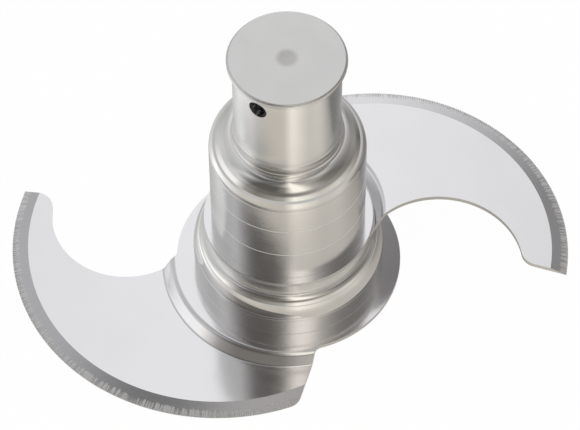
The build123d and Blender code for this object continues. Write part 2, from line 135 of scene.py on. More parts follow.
# Joggle, bevel and serration of the blades
JOGGLE_DEPTH = 4.5
JOGGLE_RUN = 3.8
BEND_RADIUS = 1.2
BEVEL_WIDTH = 6.8
EDGE_LAND = 0.25
GROOVE_PITCH = 1.0
GROOVE_LENGTHS = (3.2, 2.9, 2.0, 2.3, 1.9, 2.2, 2.7, 2.1)
GROOVE_DEPTH = 0.35
HEEL_MARGIN = 5.0
TIP_MARGIN = 1.0
SHEET_EDGE_ROUND = 0.12

# Straight sides that both arms share
HEEL_OFFSET = 26.0
HEEL_ANGLE = 72.4
TIP_END_ANGLE = -18.0

# Solids that are shown as they are, by their finish
HARD_NODES = ("drive_bush", "bush_circlip", "stack_key", "key_screw_1", "key_screw_2")
SEAL_NODES = (
    "lower_blade_bottom_seal",
    "lower_blade_top_seal",
    "upper_blade_bottom_seal",
    "upper_blade_top_seal",
    "spacer_seal_1",
    "pressure_ring_seal",
    "cap_seal",
)

# Camera that took the photograph
CAMERA_PLACE = (0.0, -0.76362, 1.11333)
CAMERA_RIGHT = (0.999968, -0.006863, -0.004162)
CAMERA_UP = (0.008005, 0.815350, 0.578912)
CAMERA_LENS = 195.56

# Floor in metres, and its share that the camera sees as plain white, so that a trace of shadow stays
FLOOR_HALF = 3.0
FLOOR_GAP = 0.0002
FLOOR_WHITE = 0.98

# What the steel mirrors. Each row is a direction, in degrees to the right of the camera's side,
# with its warmth and its levels: floor close in, floor round the blades, then the room from
# the horizon up to the ceiling.
LIGHT_PLAN = [
    (-180, 0.0, 0.55, 0.65, 1.1, 1.1, 1.0, 0.6),
    (-150, 0.0, 0.5, 0.6, 0.45, 0.5, 0.6, 0.45),
    (-120, 0.0, 0.5, 0.75, 0.65, 0.65, 0.55, 0.15),
    (-100, 0.0, 0.6, 1.2, 0.95, 0.6, 0.5, 0.1),
    (-85, 0.0, 0.7, 1.0, 1.05, 0.7, 0.65, 0.1),
    (-70, 0.3, 0.65, 0.8, 1.05, 0.7, 0.3, 0.2),
    (-55, 0.6, 0.45, 0.6, 0.35, 0.25, 0.1, 0.15),
    (-40, 1.0, 0.35, 0.6, 0.2, 0.15, 0.1, 0.15),
    (-20, 1.0, 0.55, 0.55, 0.3, 0.15, 0.1, 0.25),
    (-5, 1.0, 0.5, 0.55, 0.4, 0.15, 0.25, 0.6),
    (8, 0.9, 0.55, 1.0, 1.05, 0.25, 1.05, 1.1),
    (22, 0.9, 0.55, 0.8, 0.85, 0.3, 1.05, 0.95),
    (40, 0.9, 0.5, 0.6, 0.6, 0.35, 0.45, 0.45),
    (65, 0.8, 0.5, 0.65, 0.7, 0.3, 0.2, 0.4),
    (95, 0.8, 0.4, 0.3, 0.35, 0.2, 0.15, 0.35),
    (125, 0.4, 0.25, 0.2, 0.15, 0.3, 0.25, 0.6),
    (150, 0.2, 0.3, 0.4, 0.35, 0.25, 0.4, 0.55),
]
FAR_FLOOR = (0.55, 0.545, 0.53)
WARMTH, FLOOR_CLOSE, FLOOR_ROUND, HORIZON, ROOM_LOW, ROOM_HIGH, CEILING = range(1, 8)
WARM_RED = 0.07
WARM_BLUE = 0.10

# Where one column of the plan gives way to the next: reach over the floor in metres, and the
# upright part of a direction
FLOOR_ROUND_FROM = (0.06, 0.13)
FAR_FLOOR_FROM = (0.22, 0.45)
ROOM_BLENDS = ((ROOM_LOW, 0.25, 0.45), (ROOM_HIGH, 0.55, 0.74), (CEILING, 0.88, 0.97))

LOWER = {
    "hub_radius": 47.6,
    "joggle_start": 49.7,
    "joggle": -JOGGLE_DEPTH,
    "edge_radius": 89.2,
    "edge_offset": 31.8,
    "edge_angle": 157.6,
    "tip_angle": 162.2,
    "tip_round": 8.0,
    "hollow_radius": 32.7,
    "hollow_distance": 73.8,
    "hollow_angle": 159.8,
    "neck_fillet": 3.0,
    "heel_round": 7.0,
    "heel_fillet": 4.0,
    "turn": 0.0,
}
UPPER = {
    "hub_radius": 35.3,
    "joggle_start": 35.8,
    "joggle": JOGGLE_DEPTH,
    "edge_radius": 79.8,
    "edge_offset": 40.4,
    "edge_angle": 153.0,
    "tip_angle": 169.0,
    "tip_round": 7.0,
    "hollow_radius": 34.0,
    "hollow_distance": 69.0,
    "hollow_angle": 155.4,
    "neck_fillet": 3.0,
    "heel_round": 5.0,
    "heel_fillet": 3.0,
    "turn": 180.0,
}


def polar(radius, angle):
    """Point of the plan at a radius and an angle in degrees."""
    turn = math.radians(angle)
    return Vector((radius * math.cos(turn), radius * math.sin(turn)))


def angle_of(point):
    """Direction of a plan vector in degrees."""
    return math.degrees(math.atan2(point.y, point.x))


# Meshes

def add_object(name, mesh):
    """Object for a finished mesh, linked to the scene."""
    made = bpy.data.objects.new(name, mesh)
    bpy.context.scene.collection.objects.link(made)
    return made


def read(items, name, kind, width=1):
    """Values of one property of a mesh's items, as an array."""
    values = np.empty(len(items) * width, dtype=kind)
    items.foreach_get(name, values)
    return values.reshape(-1, width) if width > 1 else values


def smooth(made, centres=None, degrees=30):
    """Normals that follow a turned form exactly, broken at edges sharper than the angle.

    Faces turned round another upright axis than the origin's have its plan point in centres,
    by their material's index, and an edge between two axes always breaks.
    """
    mesh = made.data
    corner = read(mesh.loops, "vertex_index", int)
    face = np.repeat(np.arange(len(mesh.polygons)), read(mesh.polygons, "loop_total", int))
    flat = read(mesh.polygons, "normal", float, 3)
    area = read(mesh.polygons, "area", float)
    slot = read(mesh.polygons, "material_index", int)
    axis = np.zeros((len(mesh.polygons), 2))
    for index, centre in (centres or {}).items():
        axis[slot == index] = centre
    outward = read(mesh.polygons, "center", float, 3)[:, :2] - axis
    outward /= np.maximum(np.linalg.norm(outward, axis=1), 1e-9)[:, None]
    across = np.hypot(flat[:, 0], flat[:, 1])
    along = (flat[:, :2] * outward).sum(1)
    turned = (np.abs(along) >= 0.998 * across)[face]

    spoke = read(mesh.vertices, "co", float, 3)[corner, :2] - axis[face]
    spoke /= np.maximum(np.linalg.norm(spoke, axis=1), 1e-9)[:, None]
    facing = flat[face]
    facing[turned, :2] = spoke[turned] * (np.sign(along) * across)[face][turned, None]
    share = facing * area[face][:, None]
    total = share.copy()
    order = np.argsort(corner, kind="stable")
    limit = math.cos(math.radians(degrees))
    for step in range(1, 17):
        near, far = order[:-step], order[step:]
        joined = (corner[near] == corner[far]) & ((facing[near] * facing[far]).sum(1) > limit)
        joined &= (axis[face[near]] == axis[face[far]]).all(1)
        near, far = near[joined], far[joined]
        total[near] += share[far]
        total[far] += share[near]
    total /= np.maximum(np.linalg.norm(total, axis=1), 1e-12)[:, None]
    mesh.polygons.foreach_set("use_smooth", np.ones(len(mesh.polygons), dtype=bool))
    mesh.normals_split_custom_set(total)
    return made


def lathe(name, profile, steps=AROUND):
    """Turned piece from radius and height pairs, closed at the axis or as a ring."""
    body = bmesh.new()
    on_axis = profile[0][0] == 0
    rings = []
    for radius, height in profile:
        if radius == 0:
            rings.append([body.verts.new((0, 0, height * MM))])
            continue
        ring = []
        for step in range(steps):
            point = polar(radius * MM, 360 * step / steps)
            ring.append(body.verts.new((point.x, point.y, height * MM)))
        rings.append(ring)
    pairs = list(zip(rings, rings[1:]))
    if not on_axis:
        pairs.append((rings[-1], rings[0]))
    for near, far in pairs:
        for step in range(steps):
            after = (step + 1) % steps
            if len(near) == 1:
                corners = (near[0], far[after], far[step])
            elif len(far) == 1:
                corners = (near[step], near[after], far[0])
            else:
                corners = (near[step], near[after], far[after], far[step])
            body.faces.new(corners)
    bmesh.ops.recalc_face_normals(body, faces=body.faces)
    mesh = bpy.data.meshes.new(name)
    body.to_mesh(mesh)
    body.free()
    return add_object(name, mesh)


def arc(centre, radii, start, end, steps):
    """Points of an elliptical arc in a profile."""
    points = []
    for step in range(steps + 1):
        turn = math.radians(start + (end - start) * step / steps)
        points.append((centre[0] + radii[0] * math.cos(turn), centre[1] + radii[1] * math.sin(turn)))
    return points


def rounded(corners, rounds, steps=5):
    """Profile with some of its corners rounded, given as corner index to radius."""
    points = []
    count = len(corners)
    for index, corner in enumerate(corners):
        if index not in rounds:
            points.append(corner)
            continue
        here = Vector(corner)
        before = (Vector(corners[index - 1]) - here).normalized()
        after = (Vector(corners[(index + 1) % count]) - here).normalized()
        half = before.angle(after) / 2
        reach = rounds[index] / math.tan(half)
        centre = here + (before + after).normalized() * rounds[index] / math.sin(half)
        first = here + before * reach - centre
        last = here + after * reach - centre
        start = angle_of(first)
        swing = (angle_of(last) - start + 180) % 360 - 180
        for step in range(steps + 1):
            points.append(tuple(centre + polar(rounds[index], start + swing * step / steps)))
    return points


def apply_modifiers(made):
    """Object whose live modifiers have become its mesh."""
    graph = bpy.context.evaluated_depsgraph_get()
    mesh = bpy.data.meshes.new_from_object(made.evaluated_get(graph))
    made.modifiers.clear()
    made.data = mesh
    return made


def combine(made, other, operation):
    """Boolean of two closed pieces, which uses up the second one."""
    step = made.modifiers.new("cut", "BOOLEAN")
    step.object = other
    step.operation = operation
    step.solver = "MANIFOLD"
    step.material_mode = "TRANSFER"
    apply_modifiers(made)
    bpy.data.objects.remove(other)
    return made


def prism(name, outline, bottom, top):
    """Upright solid with a plan outline."""
    body = bmesh.new()
    low = [body.verts.new((x * MM, y * MM, bottom * MM)) for x, y in outline]
    base = body.faces.new(low)
    lifted = bmesh.ops.extrude_face_region(body, geom=[base])
    verts = [item for item in lifted["geom"] if isinstance(item, bmesh.types.BMVert)]
    bmesh.ops.translate(body, verts=verts, vec=(0, 0, (top - bottom) * MM))
    bmesh.ops.recalc_face_normals(body, faces=body.faces)
    mesh = bpy.data.meshes.new(name)
    body.to_mesh(mesh)
    body.free()
    return add_object(name, mesh)


# Plan outline of a sickle blade

def arc_path(centre, radius, start, end, spacing=0.7):
    """Plan points along an arc between two directions, in the sense that the numbers give."""
    steps = max(2, int(abs(math.radians(end - start)) * radius / spacing))
    return [centre + polar(radius, start + (end - start) * step / steps) for step in range(steps + 1)]


def circles_meet(first, first_radius, second, second_radius, side):
    """Crossing of two circles, left (1) or right (-1) of the line between them."""
    way = second - first
    reach = way.length
    along = (reach**2 + first_radius**2 - second_radius**2) / (2 * reach)
    across = math.sqrt(max(first_radius**2 - along**2, 0))
    way.normalize()
    return first + way * along + Vector((-way.y, way.x)) * across * side


def line_meets_circle(point, direction, centre, radius):
    """Farther crossing of a line and a circle in the line's direction."""
    start = point - centre
    shift = start.dot(direction)
    reach = math.sqrt(shift**2 - start.dot(start) + radius**2) - shift
    return point + direction * reach


def turn_down(angle, below):
    """The same direction, written so that it lies just below another one."""
    while angle > below:
        angle -= 360
    while angle <= below - 360:
        angle += 360
    return angle


def fillet_path(centre, radius, start, end):
    """Short arc round a fillet's centre from one point to another."""
    first = angle_of(start - centre)
    last = angle_of(end - centre)
    swing = (last - first + 180) % 360 - 180
    return arc_path(centre, radius, first, first + swing, spacing=0.35)


def sickle_outline(blade):
    """Closed plan of one blade, clockwise from the outer corner of its tip."""
    hub = Vector((0, 0))
    edge = polar(blade["edge_offset"], blade["edge_angle"])
    hollow = polar(blade["hollow_distance"], blade["hollow_angle"])
    hollow_radius = blade["hollow_radius"]
    tip = edge + polar(blade["edge_radius"], blade["tip_angle"])
    tip_way = polar(1, TIP_END_ANGLE)
    tip_normal = polar(1, TIP_END_ANGLE - 90)
    heel_way = polar(1, HEEL_ANGLE + 180)
    heel_normal = polar(1, HEEL_ANGLE + 90)
    heel_point = Vector((HEEL_OFFSET, 0))

    # Round inner corner of the tip, against the straight or the curved part of the hollow
    tip_round = blade["tip_round"]
    inner_line = tip + tip_normal * tip_round
    upright = hollow.x - hollow_radius - tip_round
    reach = (upright - inner_line.x) / tip_way.x
    tip_centre = inner_line + tip_way * reach
    if tip_centre.y < hollow.y:
        tip_centre = line_meets_circle(inner_line, -tip_way, hollow, -(hollow_radius + tip_round))
        outward = hollow - tip_centre
        tip_touch = tip_centre + outward.normalized() * tip_round
    else:
        tip_touch = tip_centre + Vector((tip_round, 0))
    path = [tip]
    path += fillet_path(tip_centre, tip_round, tip_centre - tip_normal * tip_round, tip_touch)

    # Hollow side down to the neck fillet
    neck = blade["neck_fillet"]
    neck_centre = circles_meet(hub, blade["hub_radius"] + neck, hollow, hollow_radius - neck, 1)
    neck_on_hollow = hollow + (neck_centre - hollow).normalized() * hollow_radius
    neck_on_hub = neck_centre.normalized() * blade["hub_radius"]
    first = angle_of(tip_touch - hollow) if tip_centre.y < hollow.y else 180
    first = first % 360
    last = angle_of(neck_on_hollow - hollow) % 360
    path += arc_path(hollow, hollow_radius, first, last)
    path += fillet_path(neck_centre, neck, neck_on_hollow, neck_on_hub)

    # Hub rim round the far side to the heel fillet
    heel_fillet = blade["heel_fillet"]
    outside = heel_point - heel_normal * heel_fillet
    heel_centre = line_meets_circle(outside, heel_way, hub, blade["hub_radius"] + heel_fillet)
    heel_on_hub = heel_centre.normalized() * blade["hub_radius"]
    heel_on_line = heel_centre + heel_normal * heel_fillet
    first = angle_of(neck_on_hub)
    path += arc_path(hub, blade["hub_radius"], first, turn_down(angle_of(heel_on_hub), first))
    path += fillet_path(heel_centre, heel_fillet, heel_on_hub, heel_on_line)

    # Round heel and the long cutting edge back to the tip
    heel_round = blade["heel_round"]
    inside = heel_point + heel_normal * heel_round
    corner_centre = line_meets_circle(inside, heel_way, edge, blade["edge_radius"] - heel_round)
    corner_on_line = corner_centre - heel_normal * heel_round
    corner_on_edge = edge + (corner_centre - edge).normalized() * blade["edge_radius"]
    path += fillet_path(corner_centre, heel_round, corner_on_line, corner_on_edge)
    first = angle_of(corner_on_edge - edge)
    path += arc_path(edge, blade["edge_radius"], first, turn_down(blade["tip_angle"], first))
    return tidy_path(path)


def tidy_path(path):
    """Outline without the double points where its stretches meet."""
    points = []
    for point in path:
        if not points or (point - points[-1]).length > 0.02:
            points.append(point)
    if (points[0] - points[-1]).length <= 0.02:
        points.pop()
    return [tuple(point) for point in points]


def half_plane(point, angle, size=400.0):
    """Corners of a big square to the left of a line."""
    along = polar(size, angle)
    left = Vector((-along.y, along.x)) * 2
    return [point - along, point + along, point + along + left, point - along + left]


# Blades

def joggled_dish(blade, bottom):
    """Turned sheet with the pressed step, as wide as the whole blade."""
    top = bottom + SHEET
    way = math.copysign(1, blade["joggle"])
    slope = math.atan2(abs(blade["joggle"]), JOGGLE_RUN)
    shift = way * SHEET * math.tan(slope / 2)
    start = blade["joggle_start"]
    end = start + JOGGLE_RUN
    reach = blade["edge_radius"] + blade["edge_offset"] + 1
    corners = [
        (12.0, bottom),
        (start + shift, bottom),
        (end + shift, bottom + blade["joggle"]),
        (reach, bottom + blade["joggle"]),
        (reach, top + blade["joggle"]),
        (end, top + blade["joggle"]),
        (start, top),
        (12.0, top),
    ]
    tight, wide = BEND_RADIUS, BEND_RADIUS + SHEET
    rounds = {
        1: wide if way > 0 else tight,
        2: tight if way > 0 else wide,
        5: wide if way > 0 else tight,
        6: tight if way > 0 else wide,
    }
    return lathe("dish", rounded(corners, rounds, steps=8), steps=720)


def edge_grinder(blade, top, material):
    """Cone ring that grinds the bevel, kept to the side of the arm."""
    drop = SHEET - EDGE_LAND
    outer = blade["edge_radius"] + 1
    inner = blade["edge_radius"] - BEVEL_WIDTH
    low = top - drop * (outer - inner) / BEVEL_WIDTH
    ring = lathe("grinder", [(inner, top), (outer, low), (outer, top + 1), (inner, top + 1)], steps=900)
    centre = polar(blade["edge_offset"], blade["edge_angle"]) * MM
    ring.data.transform(Matrix.Translation((centre.x, centre.y, 0)))
    ring.data.materials.append(material)
    keep = prism("keep", half_plane(Vector((HEEL_OFFSET, 0)), HEEL_ANGLE), low - 1, top + 2)
    keep.data.materials.append(material)
    return combine(ring, keep, "INTERSECT")


def groove_wedge(material):
    """Three-sided wedge with its tip one unit inside the edge and its ridge along the bevel."""
    depth = GROOVE_DEPTH
    over = 0.15
    roof = 0.1
    half = depth * (1 + over) + roof
    points = [
        (-1, 0, 0.03),
        (over, 0, -depth * (1 + over)),
        (over, half, roof),
        (over, -half, roof),
    ]
    mesh = bpy.data.meshes.new("groove wedge")
    mesh.from_pydata(points, [], [(0, 2, 1), (0, 1, 3), (0, 3, 2), (1, 2, 3)])
    body = bmesh.new()
    body.from_mesh(mesh)
    bmesh.ops.recalc_face_normals(body, faces=body.faces)
    body.to_mesh(mesh)
    body.free()
    mesh.materials.append(material)
    return add_object("groove wedge", mesh)


def groove_tree(material):
    """Node tree that repeats a wedge along an arc, in a cycle of lengths."""
    tree = bpy.data.node_groups.new("Edge grooves", "GeometryNodeTree")
    face = tree.interface
    face.new_socket("Wedge", in_out="INPUT", socket_type="NodeSocketGeometry")
    face.new_socket("Count", in_out="INPUT", socket_type="NodeSocketInt")
    face.new_socket("Edge radius", in_out="INPUT", socket_type="NodeSocketFloat")
    face.new_socket("First angle", in_out="INPUT", socket_type="NodeSocketFloat")
    face.new_socket("Step angle", in_out="INPUT", socket_type="NodeSocketFloat")
    face.new_socket("Slope", in_out="INPUT", socket_type="NodeSocketFloat")
    face.new_socket("Wander", in_out="INPUT", socket_type="NodeSocketFloat")
    face.new_socket("Seed", in_out="INPUT", socket_type="NodeSocketInt")
    face.new_socket("Grooves", in_out="OUTPUT", socket_type="NodeSocketGeometry")
    make = tree.nodes.new
    link = tree.links.new
    start = make("NodeGroupInput")
    end = make("NodeGroupOutput")
    index = make("GeometryNodeInputIndex")

    wander = make("FunctionNodeRandomValue")
    wander.data_type = "FLOAT"
    negative = math_node(tree, "MULTIPLY", start.outputs["Wander"], -1.0)
    link(negative, wander.inputs[2])
    link(start.outputs["Wander"], wander.inputs[3])
    link(start.outputs["Seed"], wander.inputs["Seed"])
    place = math_node(tree, "ADD", index.outputs[0], wander.outputs[1])
    turn = math_node(tree, "MULTIPLY", place, start.outputs["Step angle"])
    angle = math_node(tree, "SUBTRACT", start.outputs["First angle"], turn)

    length = make("GeometryNodeIndexSwitch")
    length.data_type = "FLOAT"
    while len(length.index_switch_items) < len(GROOVE_LENGTHS):
        length.index_switch_items.new()
    link(math_node(tree, "MODULO", index.outputs[0], float(len(GROOVE_LENGTHS))), length.inputs["Index"])
    for number, value in enumerate(GROOVE_LENGTHS):
        length.inputs[number + 1].default_value = value * MM

    across = math_node(tree, "MULTIPLY", math_node(tree, "COSINE", angle), start.outputs["Edge radius"])
    along = math_node(tree, "MULTIPLY", math_node(tree, "SINE", angle), start.outputs["Edge radius"])
    row = make("GeometryNodeMeshLine")
    link(start.outputs["Count"], row.inputs["Count"])
    moved = make("GeometryNodeSetPosition")
    link(row.outputs["Mesh"], moved.inputs["Geometry"])
    link(from_parts(tree, across, along, 0), moved.inputs["Position"])

    repeat = make("GeometryNodeInstanceOnPoints")
    link(moved.outputs["Geometry"], repeat.inputs["Points"])
    link(start.outputs["Wedge"], repeat.inputs["Instance"])
    link(from_parts(tree, 0, start.outputs["Slope"], angle), repeat.inputs["Rotation"])
    link(from_parts(tree, length.outputs["Output"], MM, MM), repeat.inputs["Scale"])
    real = make("GeometryNodeRealizeInstances")
    link(repeat.outputs["Instances"], real.inputs["Geometry"])
    finish = make("GeometryNodeSetMaterial")
    finish.inputs["Material"].default_value = material
    link(real.outputs["Geometry"], finish.inputs["Geometry"])
    link(finish.outputs["Geometry"], end.inputs["Grooves"])
    return tree


def feed(tree, value, socket):
    """Link or plain value for a socket, where a colour may come without its alpha."""
    if isinstance(value, bpy.types.NodeSocket):
        tree.links.new(value, socket)
    elif isinstance(value, tuple) and len(socket.default_value) == 4:
        socket.default_value = (*value, 1)
    else:
        socket.default_value = value


def math_node(tree, operation, *values):
    """Output of one math node, whose inputs are sockets or numbers."""
    node = tree.nodes.new("ShaderNodeMath")
    node.operation = operation
    for socket, value in zip(node.inputs, values):
        feed(tree, value, socket)
    return node.outputs["Value"]


def vector_node(tree, operation, *values):
    """Outputs of one vector node, whose inputs are sockets or plain vectors."""
    node = tree.nodes.new("ShaderNodeVectorMath")
    node.operation = operation
    for socket, value in zip(node.inputs, values):
        feed(tree, value, socket)
    return node.outputs


def from_parts(tree, *parts):
    """Vector of three sockets or numbers."""
    node = tree.nodes.new("ShaderNodeCombineXYZ")
    for socket, part in zip(node.inputs, parts):
        feed(tree, part, socket)
    return node.outputs["Vector"]


def parts_of(tree, vector):
    """The three parts of a vector, by their letters."""
    node = tree.nodes.new("ShaderNodeSeparateXYZ")
    tree.links.new(vector, node.inputs[0])
    return node.outputs


def seen_from_above(tree, position):
    """Position with its height left out."""
    return vector_node(tree, "MULTIPLY", position, (1, 1, 0))["Vector"]


def reach_from_middle(tree, position):
    """Distance from the upright axis."""
    return vector_node(tree, "LENGTH", seen_from_above(tree, position))["Value"]


def way_from_middle(tree, position):
    """Level direction away from the upright axis."""
    return vector_node(tree, "NORMALIZE", seen_from_above(tree, position))["Vector"]


def set_inputs(modifier, values):
    """Inputs of a node modifier, found by the names that the tree gives them."""
    for item in modifier.node_group.interface.items_tree:
        if item.item_type == "SOCKET" and item.in_out == "INPUT" and item.name in values:
            modifier[item.identifier] = values[item.name]


def serration_cutters(blade, bottom, tree, material):
    """All wedges of one cutting edge, along its arc from the heel to the tip."""
    edge = polar(blade["edge_offset"], blade["edge_angle"])
    heel_way = polar(1, HEEL_ANGLE + 180)
    heel = line_meets_circle(Vector((HEEL_OFFSET, 0)), heel_way, edge, blade["edge_radius"])
    first = turn_down(angle_of(heel - edge), 0)
    first -= math.degrees(HEEL_MARGIN / blade["edge_radius"])
    last = blade["tip_angle"] - 360 + math.degrees(TIP_MARGIN / blade["edge_radius"])
    step = math.degrees(GROOVE_PITCH / blade["edge_radius"])
    wedge = groove_wedge(material)
    repeat = wedge.modifiers.new("edge grooves", "NODES")
    repeat.node_group = tree
    set_inputs(repeat, {
        "Count": int((first - last) / step),
        "Edge radius": blade["edge_radius"] * MM,
        "First angle": math.radians(first),
        "Step angle": math.radians(step),
        "Slope": math.atan((SHEET - EDGE_LAND) / BEVEL_WIDTH),
        "Wander": 0.06,
        "Seed": 4,
    })
    apply_modifiers(wedge)
    shift = Vector((edge.x, edge.y, bottom + EDGE_LAND)) * MM
    wedge.data.transform(Matrix.Translation(shift))
    return wedge


def soften_sheet_edges(made):
    """Small round along the sheared edges of a blade."""
    body = bmesh.new()
    body.from_mesh(made.data)
    body.edges.ensure_lookup_table()
    sharp = []
    for edge in body.edges:
        if len(edge.link_faces) != 2:
            continue
        if edge.calc_face_angle() < math.radians(50):
            continue
        sharp.append(edge)
    bmesh.ops.bevel(
        body,
        geom=sharp,
        offset=SHEET_EDGE_ROUND * MM,
        segments=2,
        profile=0.5,
        affect="EDGES",
        clamp_overlap=True,
    )
    body.to_mesh(made.data)
    body.free()
    return made


def key_bore(bottom, top):
    """Solid of the hub's bore and key notch."""
    half = math.degrees(math.asin(NOTCH_HALF_WIDTH / BORE))
    outline = [tuple(point) for point in arc_path(Vector((0, 0)), BORE, 90 + half, 450 - half, spacing=0.6)]
    outline += [(NOTCH_HALF_WIDTH, NOTCH_REACH), (-NOTCH_HALF_WIDTH, NOTCH_REACH)]
    return prism("key bore", outline, bottom, top)


def sickle_blade(name, blade, bottom, tree, steels):
    """Pressed blade with its ground bevel and its grooves."""
    low = bottom + min(blade["joggle"], 0) - 1
    high = bottom + SHEET + max(blade["joggle"], 0) + 1
    plate = bottom + blade["joggle"]
    body = joggled_dish(blade, bottom)
    body.name = name
    body.data.materials.append(steels["sheet"])
    plan = prism("plan", sickle_outline(blade), low, high)
    plan.data.materials.append(steels["sheared"])
    combine(body, plan, "INTERSECT")
    bore = key_bore(low, high)
    if blade["turn"]:
        bore.data.transform(Matrix.Rotation(-math.radians(blade["turn"]), 4, "Z"))
    bore.data.materials.append(steels["sheared"])
    combine(body, bore, "DIFFERENCE")
    soften_sheet_edges(body)
    combine(body, edge_grinder(blade, plate + SHEET, steels["ground"]), "DIFFERENCE")
    combine(body, serration_cutters(blade, plate, tree, steels["groove"]), "DIFFERENCE")
    body.data.transform(Matrix.Rotation(math.radians(blade["turn"]), 4, "Z"))
    body.data.name = name
    ground = body.data.materials.find(steels["ground"].name)
    return smooth(body, {ground: polar(blade["edge_offset"] * MM, blade["edge_angle"] + blade["turn"])})


# Turned pieces

def seal_notch(radius, face, side):
    """Three-sided run of a seal groove in a profile, from the outside inwards."""
    outer, inner, deep = radius + SEAL_HALF_WIDTH, radius - SEAL_HALF_WIDTH, face + side * SEAL_DEPTH
    return [(outer, face), (outer, deep), (inner, deep), (inner, face)]


def shoulder_spacer(steels):
    """Ring between the blades, with its bead, turned line and collar."""
    top = UPPER_Z
    bead_top = top - COLLAR_HEIGHT
    bead_z = bead_top - BEAD_HEIGHT
    line = bead_z - TURNED_LINE_DROP
    profile = [(BORE, SHOULDER_Z)]
    profile += list(reversed(seal_notch(SEAL_RADIUS, SHOULDER_Z, 1)))
    profile += edge_arc((FOOT_RADIUS, SHOULDER_Z), EDGE_ROUND, -90, 0)
    profile += [(FOOT_RADIUS, line - TURNED_LINE_HALF), (FOOT_RADIUS - TURNED_LINE_DEPTH, line)]
    profile += [(COLLAR_RADIUS + BEAD_WIDTH, line + TURNED_LINE_HALF)]
    profile += arc((COLLAR_RADIUS, bead_z), (BEAD_WIDTH, BEAD_HEIGHT), 0, BEAD_END, 40)
    profile += [(COLLAR_RADIUS + out, bead_top + up) for out, up in BEAD_ROOT]
    profile += edge_arc((COLLAR_RADIUS, top), EDGE_ROUND, 0, 90)
    profile += seal_notch(SEAL_RADIUS, top, -1)
    profile += [(BORE, top)]
    made = lathe("shoulder_spacer", profile)
    made.data.materials.append(steels["ring"])
    made.data.materials.append(steels["polished"])
    outside = COLLAR_RADIUS + 0.02
    paint(made, 1, lambda spot, normal: bead_z < spot.z < bead_top and spot.to_2d().length > outside)
    cut_key_notch(made, SHOULDER_Z - 1, top + 1)
    return smooth(made)


def edge_arc(corner, radius, start, end, steps=4):
    """Rounded outer corner of a profile, at the bottom (-90 to 0) or the top (0 to 90)."""
    up = -1 if max(start, end) > 0 else 1
    centre = (corner[0] - radius, corner[1] + up * radius)
    return arc(centre, (radius, radius), start, end, steps)


def cut_key_notch(made, bottom, top, inner=NOTCH_START, outer=NOTCH_REACH, half=NOTCH_HALF_WIDTH):
    """Slot for the key, along the whole height of a piece."""
    outline = [(-half, inner), (half, inner), (half, outer), (-half, outer)]
    notch = prism("notch", outline, bottom, top)
    notch.data.materials.append(made.data.materials[0])
    return combine(made, notch, "DIFFERENCE")


def paint(made, index, test):
    """Second finish for the faces that pass a test on their centre in millimetres and normal."""
    for face in made.data.polygons:
        if test(face.center / MM, face.normal):
            face.material_index = index


def plain_spacer(name, bottom, steels):
    """Plain turned ring, with the thin chamfers of its rims."""
    top = bottom + SPACER_HEIGHT
    profile = [(BORE, bottom)]
    profile += list(reversed(seal_notch(SEAL_RADIUS, bottom, 1)))
    profile += [(STACK_RADIUS - SEAM_WIDTH, bottom), (STACK_RADIUS, bottom + SEAM_DROP)]
    profile += [(STACK_RADIUS, top - SEAM_DROP), (STACK_RADIUS - SEAM_WIDTH, top)]
    profile += [(BORE, top)]
    made = lathe(name, profile)
    made.data.materials.append(steels["ring"])
    made.data.materials.append(steels["arris_painted_highlight"])
    # The top chamfer takes the pale steel, a painted highlight along the seam
    paint(made, 1, lambda spot, normal: spot.z > top - SEAM_DROP and 0.3 < normal.z < 0.95)
    cut_key_notch(made, bottom - 1, top + 1)
    return smooth(made)


def pressure_ring(steels):
    """Top ring, with a fine turned line, a round polished shoulder and a short collar."""
    bottom = PRESSURE_Z
    top = CAP_Z
    web = top - WEB_DROP
    round_top = top - NECK_COLLAR_HEIGHT
    shoulder_z = round_top - SHOULDER_ROUND
    line = shoulder_z - FINE_LINE_DROP
    both = SHOULDER_ROUND + NECK_COLLAR_FILLET
    meet = math.degrees(math.acos(NECK_COLLAR_FILLET / both))
    fillet_z = shoulder_z + math.sqrt(both**2 - NECK_COLLAR_FILLET**2)
    fillet = (NECK_COLLAR_RADIUS + NECK_COLLAR_FILLET, fillet_z)
    profile = [(CAP_BORE, web), (BORE, web), (BORE, bottom)]
    profile += list(reversed(seal_notch(SEAL_RADIUS, bottom, 1)))
    profile += [(STACK_RADIUS - SEAM_WIDTH, bottom), (STACK_RADIUS, bottom + SEAM_DROP)]
    profile += [(STACK_RADIUS, line - FINE_LINE_HALF), (STACK_RADIUS - FINE_LINE_DEPTH, line)]
    profile += [(STACK_RADIUS, line + FINE_LINE_HALF)]
    profile += arc((NECK_COLLAR_RADIUS, shoulder_z), (SHOULDER_ROUND, SHOULDER_ROUND), 0, meet, 40)
    profile += arc(fillet, (NECK_COLLAR_FILLET, NECK_COLLAR_FILLET), 180 + meet, 180, 8)[1:]
    profile += edge_arc((NECK_COLLAR_RADIUS, top), EDGE_ROUND, 0, 90)
    profile += seal_notch(CAP_SEAL_RADIUS, top, -1)
    profile += [(CAP_BORE, top)]
    made = lathe("pressure_ring", profile)
    made.data.materials.append(steels["ring"])
    made.data.materials.append(steels["polished"])
    outside = NECK_COLLAR_RADIUS + 0.1
    paint(made, 1, lambda spot, normal: spot.z > shoulder_z and spot.to_2d().length > outside)
    cut_key_notch(made, bottom - 1, web)
    return smooth(made)


